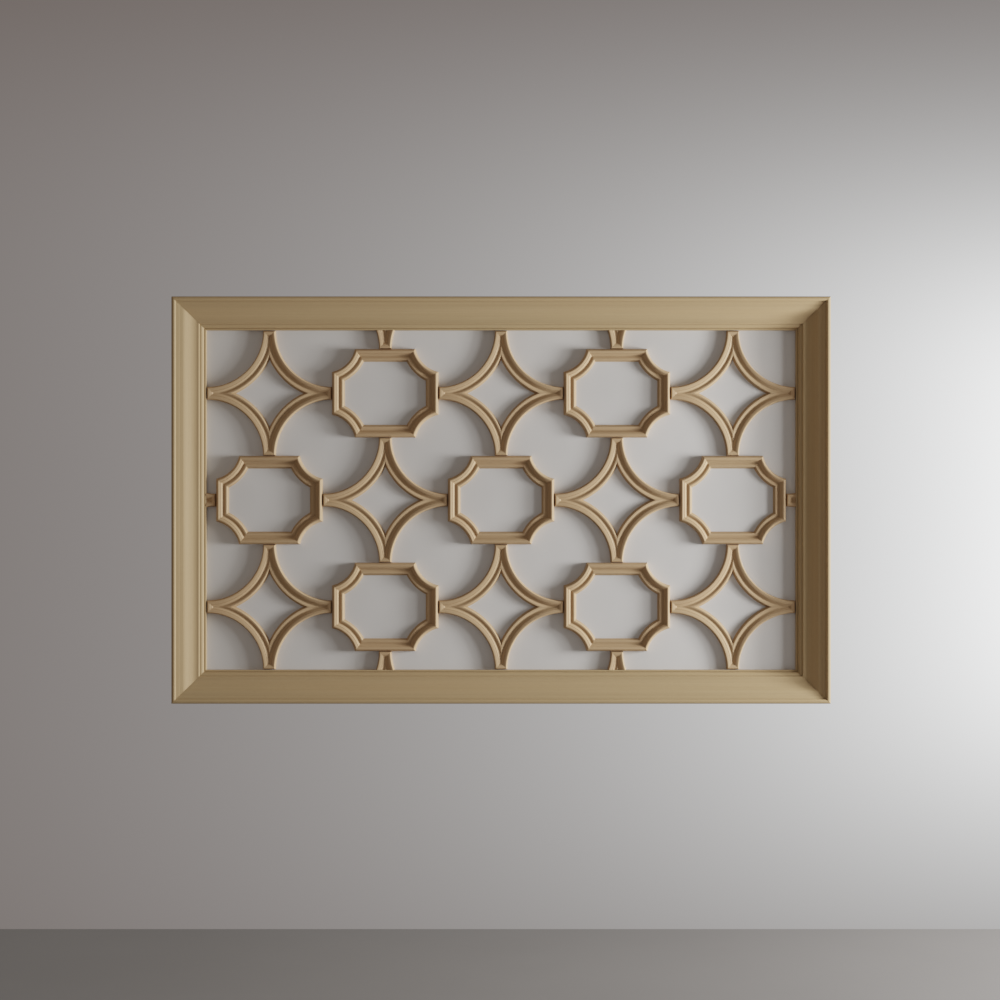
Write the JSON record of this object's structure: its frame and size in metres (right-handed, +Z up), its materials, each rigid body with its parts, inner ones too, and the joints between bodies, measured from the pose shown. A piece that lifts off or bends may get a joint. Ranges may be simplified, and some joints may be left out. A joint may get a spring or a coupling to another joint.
{
  "type": "tracery wall panel",
  "caption": "Rectangular wall panel: mitred moulded wood frame around a flat painted board that carries a lattice of notched octagon and four-pointed star mouldings.",
  "frame": {"origin": "middle of the flat back, which lies against the wall", "axes": "+Y into the wall, -Y out of the front, +X to the right seen from the front, +Z up"},
  "size_m": [2.0014, 0.08, 1.2364],
  "materials": {
    "frame_wood": "satin pale brown stain with fine lengthwise grain",
    "tracery_wood": "satin pale brown stain with fine lengthwise grain",
    "painted_board": "matt pale grey paint"
  },
  "bodies": {
    "root": {"backing_board": "painted_board", "frame_top": "frame_wood", "frame_bottom": "frame_wood", "frame_left": "frame_wood", "frame_right": "frame_wood", "octagon_top_left": "tracery_wood", "octagon_top_right": "tracery_wood", "octagon_middle_left": "tracery_wood", "octagon_middle_centre": "tracery_wood", "octagon_middle_right": "tracery_wood", "octagon_bottom_left": "tracery_wood", "octagon_bottom_right": "tracery_wood", "star_top_left": "tracery_wood", "star_top_centre": "tracery_wood", "star_top_right": "tracery_wood", "star_middle_left": "tracery_wood", "star_middle_right": "tracery_wood", "star_bottom_left": "tracery_wood", "star_bottom_centre": "tracery_wood", "star_bottom_right": "tracery_wood", "tip_top_left": "tracery_wood", "tip_top_right": "tracery_wood", "tip_bottom_left": "tracery_wood", "tip_bottom_right": "tracery_wood", "tip_left": "tracery_wood", "tip_right": "tracery_wood"}
  },
  "joints": []
}
